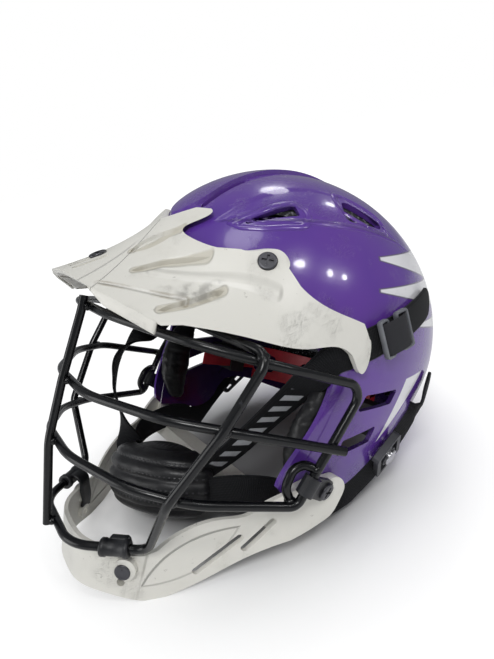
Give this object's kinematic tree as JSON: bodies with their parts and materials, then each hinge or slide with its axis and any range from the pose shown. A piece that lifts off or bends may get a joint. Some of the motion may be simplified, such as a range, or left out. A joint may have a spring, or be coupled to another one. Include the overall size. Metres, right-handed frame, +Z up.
{
  "type": "lacrosse helmet",
  "caption": "Field lacrosse helmet with a vented shell, flared visor, chin guard, welded wire face mask, padded liner, retention cradle and a chin cup on four buckled straps.",
  "frame": {"origin": "middle of the helmet's box, on the table it rests on", "axes": "+X to the wearer's left, -Y to the front where the visor and mask are, +Z up from the table; the helmet lies back on the chin guard and the nape edge"},
  "size_m": [0.2568, 0.3274, 0.2236],
  "materials": {
    "bracket_plastic": "black nylon",
    "buckle_plastic": "grey acetal",
    "clip_plastic": "black nylon",
    "coated_wire": "satin black coating on steel rod",
    "comfort_cloth": "grey knitted cover",
    "cradle_plastic": "red sprung plastic",
    "cup_lining": "black padded cloth",
    "cup_plastic": "black moulded cup",
    "jaw_vinyl": "black vinyl skin",
    "liner_foam": "speckled black expanded foam",
    "screw_steel": "darkened steel",
    "shell_gloss": "glossy purple polycarbonate",
    "stud_steel": "nickel-plated steel",
    "webbing": "black woven webbing",
    "white_plastic": "warm white semi-gloss"
  },
  "bodies": {
    "helmet": {"brow_pad": "comfort_cloth", "chin_clip_left": "clip_plastic", "chin_clip_right": "clip_plastic", "chin_cup": "cup_plastic", "chin_cup_pad": "cup_lining", "chin_guard": "white_plastic", "chin_screw_left": "screw_steel", "chin_screw_right": "screw_steel", "cradle_bracket_left": "bracket_plastic", "cradle_bracket_right": "bracket_plastic", "crown_pad": "comfort_cloth", "jaw_pad_left": "jaw_vinyl", "jaw_pad_right": "jaw_vinyl", "liner_crown": "liner_foam", "liner_front": "liner_foam", "liner_rear": "liner_foam", "liner_side_left": "liner_foam", "liner_side_right": "liner_foam", "lower_strap_left": "webbing", "lower_strap_right": "webbing", "lower_stud_left": "stud_steel", "lower_stud_right": "stud_steel", "mask_centre_bar": "coated_wire", "mask_frame_wire": "coated_wire", "mask_jaw_loop_left": "coated_wire", "mask_jaw_loop_right": "coated_wire", "mask_nose_bar": "coated_wire", "mask_perimeter_wire": "coated_wire", "nape_pad": "comfort_cloth", "shell": "shell_gloss", "side_clip_left": "clip_plastic", "side_clip_right": "clip_plastic", "side_pad_left": "comfort_cloth", "side_pad_right": "comfort_cloth", "side_screw_left": "screw_steel", "side_screw_right": "screw_steel", "upper_strap_left": "webbing", "upper_strap_right": "webbing", "upper_stud_left": "stud_steel", "upper_stud_right": "stud_steel", "visor": "white_plastic", "visor_front_clip": "clip_plastic", "visor_front_screw": "screw_steel", "visor_nut_left": "screw_steel", "visor_nut_right": "screw_steel", "visor_screw_left": "screw_steel", "visor_screw_right": "screw_steel"},
    "upper_left_buckle": {"upper_buckle_left": "buckle_plastic"},
    "upper_right_buckle": {"upper_buckle_right": "buckle_plastic"},
    "lower_left_buckle": {"lower_buckle_left": "buckle_plastic"},
    "lower_right_buckle": {"lower_buckle_right": "buckle_plastic"},
    "cradle": {"retention_cradle": "cradle_plastic"}
  },
  "joints": [
    {"name": "upper_left_buckle_turn", "type": "hinge", "parent": "helmet", "child": "upper_left_buckle", "pos_m": [0.11522, 0.04618, 0.11977], "axis": [0.9898, 0.0598, 0.1295], "range_deg": [-4, 4]},
    {"name": "lower_left_buckle_turn", "type": "hinge", "parent": "helmet", "child": "lower_left_buckle", "pos_m": [0.10212, 0.0386, 0.03228], "axis": [0.8962, 0.1691, -0.4101], "range_deg": [-4, 4]},
    {"name": "upper_right_buckle_turn", "type": "hinge", "parent": "helmet", "child": "upper_right_buckle", "pos_m": [-0.11522, 0.04618, 0.11977], "axis": [0.9898, -0.0598, -0.1295], "range_deg": [-4, 4]},
    {"name": "lower_right_buckle_turn", "type": "hinge", "parent": "helmet", "child": "lower_right_buckle", "pos_m": [-0.10212, 0.0386, 0.03228], "axis": [0.8962, -0.1691, 0.4101], "range_deg": [-4, 4]},
    {"name": "cradle_slide", "type": "slide", "parent": "helmet", "child": "cradle", "axis": [0, -0.8834, 0.4687], "range_m": [0, 0.008]}
  ]
}
